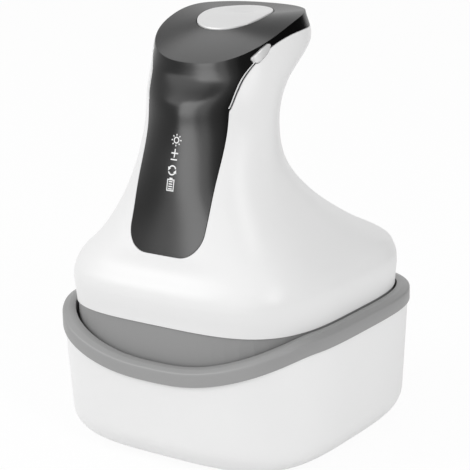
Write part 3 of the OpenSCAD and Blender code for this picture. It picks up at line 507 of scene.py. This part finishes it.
def make_top_key():
    """Egg-shaped button with a round finger dish, its hidden flange and its plunger."""
    flange_top = PANEL_T + FLANGE_DROP
    flange_low = flange_top + FLANGE_T
    # Share of the outline, growth of it and drop under the dome, from the middle of the underside outwards
    rows = [(0, 0, flange_low + 0.6), (0.6, 0, flange_low + 0.6)]
    rows += [(1, FLANGE_W, flange_low), (1, FLANGE_W, flange_top), (1, 0, flange_top), (1, 0, 0)]
    edge_round = ((1, 0.45), (0.994, 0.2), (0.982, 0.06))
    rows += [(share, 0, under - BUTTON_PROUD) for share, under in edge_round]
    face = (0.96, 0.92, 0.87, 0.81, 0.74, 0.67, 0.6, 0.53, 0.47, 0.41, 0.35, 0.29, 0.23, 0.17, 0.11, 0.05, 0)
    rows += [(share, 0, None) for share in face]

    def place(row, angle):
        share, grow, drop = rows[row]
        edge_x, edge_y = button_point(angle, grow)
        x, y = edge_x * share, BUTTON_Y + (edge_y - BUTTON_Y) * share
        if drop is not None:
            return Vector((x, y, dome_height(x, y) - drop))
        r = math.hypot(x, y - DISH_Y) / DISH_R
        dip = DISH_DEPTH * (1 - r * r) ** 2 if r < 1 else 0
        return Vector((x, y, dome_height(x, y) + BUTTON_PROUD - dip))
    key = spun("top_key", len(rows), BUTTON_STEPS, place)
    low, high = SWITCH_TOP + BUTTON_TRAVEL + STEM_PLAY, dome_height(0, BUTTON_Y) - flange_low
    carve(key, prism("stem", round_outline(0, BUTTON_Y, STEM_R, 40), "z", low, high), "UNION")
    install(soften(key), "top_button", SILVER_KEY, "top_button")


def make_side_key(side, body):
    key = carve(body_form(body + "_key", -SIDE_PROUD), side_prism("outline", side), "INTERSECT")
    flange_outline = side_prism("flange_outline", side, SIDE_FLANGE_W)
    flange = carve(body_form("flange", PANEL_T + CLEARANCE), flange_outline, "INTERSECT")
    carve(flange, panel_zone("flange_limit", -LEDGE_W - CLEARANCE), "INTERSECT")
    carve(key, flange, "UNION")
    install(soften(key, bevel=0.15), body, SILVER_KEY, body)


def make_seam_tails():
    """Thin bright line that runs down the panel's edge from each side button."""
    outer, inner = (seam_outline(edge) for edge in TAIL_EDGES)
    across = ("x", -60, 60)
    tails = carve(prism("seam_tails", outer, *across), prism("inner_edge", inner, *across))
    carve(tails, body_form("tail_skin", TAIL_SKIN), "INTERSECT")
    carve(tails, body_form("tail_inside", TAIL_DEPTH))
    low = STRIP_TOP + 0.5
    reach = [(TAIL_FRONT, low), (TAIL_BACK, low), (TAIL_BACK, TAIL_TOP), (TAIL_FRONT, TAIL_TOP)]
    carve(tails, prism("tail_reach", reach, *across), "INTERSECT")
    install(soften(tails), "massager", SILVER_KEY)


# ---------- marks printed on the panel ----------

# Heights of the four signs on the panel's middle line, and how thick and how proud they are printed
SUN_Z, CHANGE_Z, TURN_Z, CELL_Z, PRINT_T, PRINT_PROUD = 124.5, 119.2, 113.6, 108.2, 0.05, 0.03


def flat_ring(bm, x, z, radius, width, start=0.0, turn=360.0, steps=28):
    a = math.radians(start)
    radii = (radius - width / 2, radius + width / 2)
    verts = [bm.verts.new((x + r * math.cos(a), 0, z + r * math.sin(a))) for r in radii]
    edge = bm.edges.new(verts)
    bmesh.ops.spin(bm, geom=verts + [edge], cent=(x, 0, z), axis=(0, -1, 0), dvec=(0, 0, 0),
                   angle=math.radians(turn), steps=steps, use_merge=turn == 360)


def flat_bar(bm, x, z, width, height, turn=0.0):
    made = bmesh.ops.create_grid(bm, x_segments=4, y_segments=4, size=0.5)["verts"]
    place = (Matrix.Translation((x, 0, z)) @ Matrix.Rotation(math.radians(-turn), 4, "Y")
             @ Matrix.Rotation(math.pi / 2, 4, "X") @ Matrix.Diagonal((width, height, 1, 1)))
    bmesh.ops.transform(bm, matrix=place, verts=made)


def flat_arrow(bm, x, z, size, turn):
    angles = [math.radians(turn + a) for a in (0, 120, 240)]
    bm.faces.new([bm.verts.new((x + size * math.cos(a), 0, z + size * math.sin(a))) for a in angles])


def make_panel_marks():
    """Light, plus and minus, turning direction and battery, one above the other."""
    bm = bmesh.new()
    flat_ring(bm, 0, SUN_Z, 1.05, 0.42)
    for i in range(8):
        a = math.tau * i / 8
        flat_bar(bm, 1.95 * math.cos(a), SUN_Z + 1.95 * math.sin(a), 0.62, 0.42, math.degrees(a))
    flat_bar(bm, 0, CHANGE_Z + 0.55, 3.1, 0.48)
    flat_bar(bm, 0, CHANGE_Z + 0.55, 0.48, 3.1)
    flat_bar(bm, 0, CHANGE_Z - 1.75, 2.9, 0.48)
    for start in (20, 200):
        flat_ring(bm, 0, TURN_Z, 1.6, 0.5, start, 128, 20)
        a = math.radians(start + 140)
        flat_arrow(bm, 1.6 * math.cos(a), TURN_Z + 1.6 * math.sin(a), 0.85, start + 140 + 90)
    for side in (-1, 1):
        flat_bar(bm, side * 1.45, CELL_Z, 0.4, 4.4)
        flat_bar(bm, 0, CELL_Z + side * 2.0, 3.2, 0.4)
    flat_bar(bm, 0, CELL_Z + 2.45, 1.4, 0.5)
    for i in range(4):
        flat_bar(bm, 0, CELL_Z - 1.35 + 0.88 * i, 1.7, 0.44)
    bmesh.ops.solidify(bm, geom=bm.faces[:], thickness=PRINT_T)
    for v in bm.verts:
        v.co.y += front_depth(v.co.x, v.co.z) - PRINT_PROUD
    install(to_object(bm, "panel_marks"), "massager", PRINT)


# ---------- stand ----------

CUP_STEPS = 180
STAND_A, CUP_A, RIM_IN_A, RIM_Z, RIM_H = 60, 59.3, 55.3, 56.1, 6.6
RIM_DIP, DIP_ANGLE, DIP_POWER = 13.9, 60, 1.4
CUP_LOW, CUP_FLOOR, CUP_DRAFT, CUP_WALL, FOOT_EDGE_R = 0.8, 4, 1.7, 3, 12
LEDGE_Z, RIB_A, RIB_T, RIB_SPREAD = 33, 51.3, 2, 0.58


def rim_wave(angle):
    """Change of the rim's height at an angle: it dips at the front."""
    off_front = abs((math.degrees(angle) + 90 + 180) % 360 - 180)
    t = min(1, (off_front / DIP_ANGLE) ** DIP_POWER)
    return -RIM_DIP * (1 - t * t * (3 - 2 * t))


def ring_point(half, height, wave, angle):
    ux, uy = unit_point(angle, SQUARENESS)
    return Vector((half * ux, half * uy, height + wave * rim_wave(angle)))


def corner_rows(half, z, radius, turns):
    """Rows round the foot's edge: half width, height and share of the rim's wave."""
    angles = [math.radians(7.5 * i) for i in turns]
    return [(half - radius * (1 - math.sin(a)), z + radius * (1 - math.cos(a)), 0) for a in angles]


def make_cup():
    """Cup with its wall and floor, and two carrying ribs on each side."""
    foot_a = CUP_A - CUP_DRAFT
    inner_a, inner_r = foot_a - CUP_WALL, FOOT_EDGE_R - CUP_WALL
    outer = corner_rows(foot_a, CUP_LOW, FOOT_EDGE_R, range(13))
    inner = corner_rows(inner_a, CUP_FLOOR, inner_r, range(12, -1, -1))
    edge_z = RIM_Z - RIM_H
    wall = [(mix(foot_a, CUP_A, s), mix(CUP_LOW + FOOT_EDGE_R, edge_z, s), s * s)
            for s in (0.25, 0.5, 0.75, 1)]
    inside = [(mix(inner_a, CUP_A - CUP_WALL, s), mix(CUP_FLOOR + inner_r, edge_z, s), s * s)
              for s in (1, 0.75, 0.5, 0.25)]
    rows = [(0, CUP_LOW, 0)] + outer + wall + inside + inner + [(0, CUP_FLOOR, 0)]
    cup = spun("cup_moulding", len(rows), CUP_STEPS, lambda row, angle: ring_point(*rows[row], angle))
    rib_low, rib_back = CUP_FLOOR + FOOT_EDGE_R, foot_a - 2
    rib_outline = [(RIB_A - 1.5, LEDGE_Z), (RIB_A - 1.5, LEDGE_Z - 1), (RIB_A + 0.5, rib_low),
                   (rib_back, rib_low), (rib_back, LEDGE_Z)]
    for turn in range(4):
        for side in (-1, 1):
            rib = prism("rib", rib_outline, "y", -RIB_T / 2, RIB_T / 2)
            aside = Matrix.Translation((0, side * RIB_A * RIB_SPREAD * MM, 0))
            rib.data.transform(Matrix.Rotation(turn * math.pi / 2, 4, "Z") @ aside)
            carve(cup, rib, "UNION")
    install(soften(cup), "stand", WHITE_CUP, "stand_cup")


def make_rim():
    """Ring on the cup, rounded outside, with a low step up to its inner edge."""
    rows = [(STAND_A, RIM_Z - RIM_H), (STAND_A, RIM_Z - 2.0), (STAND_A - 0.15, RIM_Z - 1.5),
            (STAND_A - 0.5, RIM_Z - 1.1), (STAND_A - 1.8, RIM_Z - 0.75), (STAND_A - 2.1, RIM_Z - 0.45),
            (STAND_A - 2.4, RIM_Z - 0.35), (RIM_IN_A + 0.6, RIM_Z), (RIM_IN_A + 0.15, RIM_Z - 0.1),
            (RIM_IN_A, RIM_Z - 0.5), (RIM_IN_A, RIM_Z - RIM_H)]
    rim = spun("rim_ring", len(rows), CUP_STEPS, lambda row, angle: ring_point(*rows[row], 1, angle),
               closed=True)
    install(soften(rim, 40), "stand", GREY_RIM, "stand_rim")


# ---------- floor and light ----------

FLOOR_R, FLOOR_GLOW_SHARE, WORLD_LEVEL = 6000, 0.94, 0.62
CARD_R, CARD_LOW, CARD_H, CARD_START, CARD_TURN = 350, 1, 900, math.radians(-57), math.radians(137)
PANEL_MIDDLE, GLOSS_REACH = Vector((0, -0.035, 0.12)), 0.9
# Softboxes for the gloss alone: turn from the front, height angle, width and height in metres, power
GLOSS_BOXES = (("gloss_box", -18, 16, 0.46, 0.8, 13), ("gloss_edge_box", 7, 18, 0.22, 0.8, 2.4),
               ("gloss_top_box", -108, 60, 0.4, 0.4, 2.2))


def backdrop_share(nodes, links):
    """1 for the rays that see the backdrop itself: the camera's, a reflection's and those through glass."""
    path = nodes.new("ShaderNodeLightPath")
    share = path.outputs["Is Camera Ray"]
    for ray in ("Is Glossy Ray", "Is Transmission Ray"):
        either = nodes.new("ShaderNodeMath")
        either.operation = "MAXIMUM"
        links.new(share, either.inputs[0])
        links.new(path.outputs[ray], either.inputs[1])
        share = either.outputs[0]
    return share


def make_stage():
    """Pale floor that looks white and keeps a little of the object's shadow."""
    bm = bmesh.new()
    bmesh.ops.create_circle(bm, segments=96, radius=FLOOR_R, cap_ends=True)
    floor = to_object(bm, "studio_floor")
    material = bpy.data.materials.new("studio_floor")
    material.use_nodes = True
    nodes, links = material.node_tree.nodes, material.node_tree.links
    shader = nodes["Principled BSDF"]
    shader.inputs["Base Color"].default_value = (0.9, 0.9, 0.9, 1)
    shader.inputs["Roughness"].default_value = 0.9
    glow = nodes.new("ShaderNodeEmission")
    glow.inputs["Color"].default_value = (1, 1, 1, 1)
    share = nodes.new("ShaderNodeMath")
    share.operation, share.inputs[1].default_value = "MULTIPLY", FLOOR_GLOW_SHARE
    blend = nodes.new("ShaderNodeMixShader")
    links.new(backdrop_share(nodes, links), share.inputs[0])
    links.new(share.outputs[0], blend.inputs[0])
    links.new(shader.outputs[0], blend.inputs[1])
    links.new(glow.outputs[0], blend.inputs[2])
    links.new(blend.outputs[0], nodes["Material Output"].inputs["Surface"])
    dress(floor, material)


def make_black_card():
    """Curved card round the right and the back, seen in reflections alone, so the gloss there is black."""
    bm = bmesh.new()
    x, y = CARD_R * math.cos(CARD_START), CARD_R * math.sin(CARD_START)
    foot = [bm.verts.new((x, y, z)) for z in (CARD_LOW, CARD_H)]
    bmesh.ops.spin(bm, geom=foot + [bm.edges.new(foot)], cent=(0, 0, 0), axis=(0, 0, 1), dvec=(0, 0, 0),
                   angle=CARD_TURN, steps=32)
    card = to_object(bm, "black_card")
    dress(card, finish_of("black_card", grey(0.01), 0.9))
    card.visible_camera = card.visible_diffuse = card.visible_shadow = card.visible_transmission = False


def softbox(name, where, aim, width, height, power):
    """Area lamp at a place in metres, turned to what it is aimed at."""
    data = bpy.data.lights.new(name, "AREA")
    data.shape, data.size, data.size_y, data.energy = "RECTANGLE", width, height, power
    lamp = bpy.data.objects.new(name, data)
    scene.collection.objects.link(lamp)
    lamp.location = where
    lamp.rotation_mode = "QUATERNION"
    lamp.rotation_quaternion = (Vector(where) - Vector(aim)).to_track_quat("Z", "Y")
    return lamp


def make_light():
    world = bpy.data.worlds.new("studio")
    world.use_nodes = True
    scene.world = world
    nodes, links = world.node_tree.nodes, world.node_tree.links
    sky = nodes["Background"]
    sky.inputs["Color"].default_value = (1, 1, 1, 1)
    level = nodes.new("ShaderNodeMapRange")
    level.inputs["To Min"].default_value, level.inputs["To Max"].default_value = WORLD_LEVEL, 1.0
    links.new(backdrop_share(nodes, links), level.inputs["Value"])
    links.new(level.outputs["Result"], sky.inputs["Strength"])
    softbox("left_softbox", (-0.9, -0.9, 1.0), (0, 0, 0.08), 0.9, 0.9, 9)
    softbox("right_softbox", (1.1, -0.5, 0.8), (0, 0, 0.1), 0.35, 1.0, 6)
    glossy = bpy.data.collections.new("glossy_pieces")
    glossy.objects.link(bpy.data.objects["glossy_panel"])
    for name, turn, rise, width, height, power in GLOSS_BOXES:
        place = PANEL_MIDDLE + GLOSS_REACH * toward(math.radians(turn), math.radians(rise))
        lamp = softbox(name, place, PANEL_MIDDLE, width, height, power)
        lamp.light_linking.receiver_collection = glossy


# ---------- everything in place ----------

for node, finish in NODE_FINISH.items():
    dress(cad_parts[node], finish)

make_camera()
make_shell()
make_panel()
make_top_key()
make_side_key(1, "side_button_right")
make_side_key(-1, "side_button_left")
make_seam_tails()
make_panel_marks()
make_cup()
make_rim()
make_stage()
make_black_card()
make_light()
scene.view_settings.view_transform = "Standard"
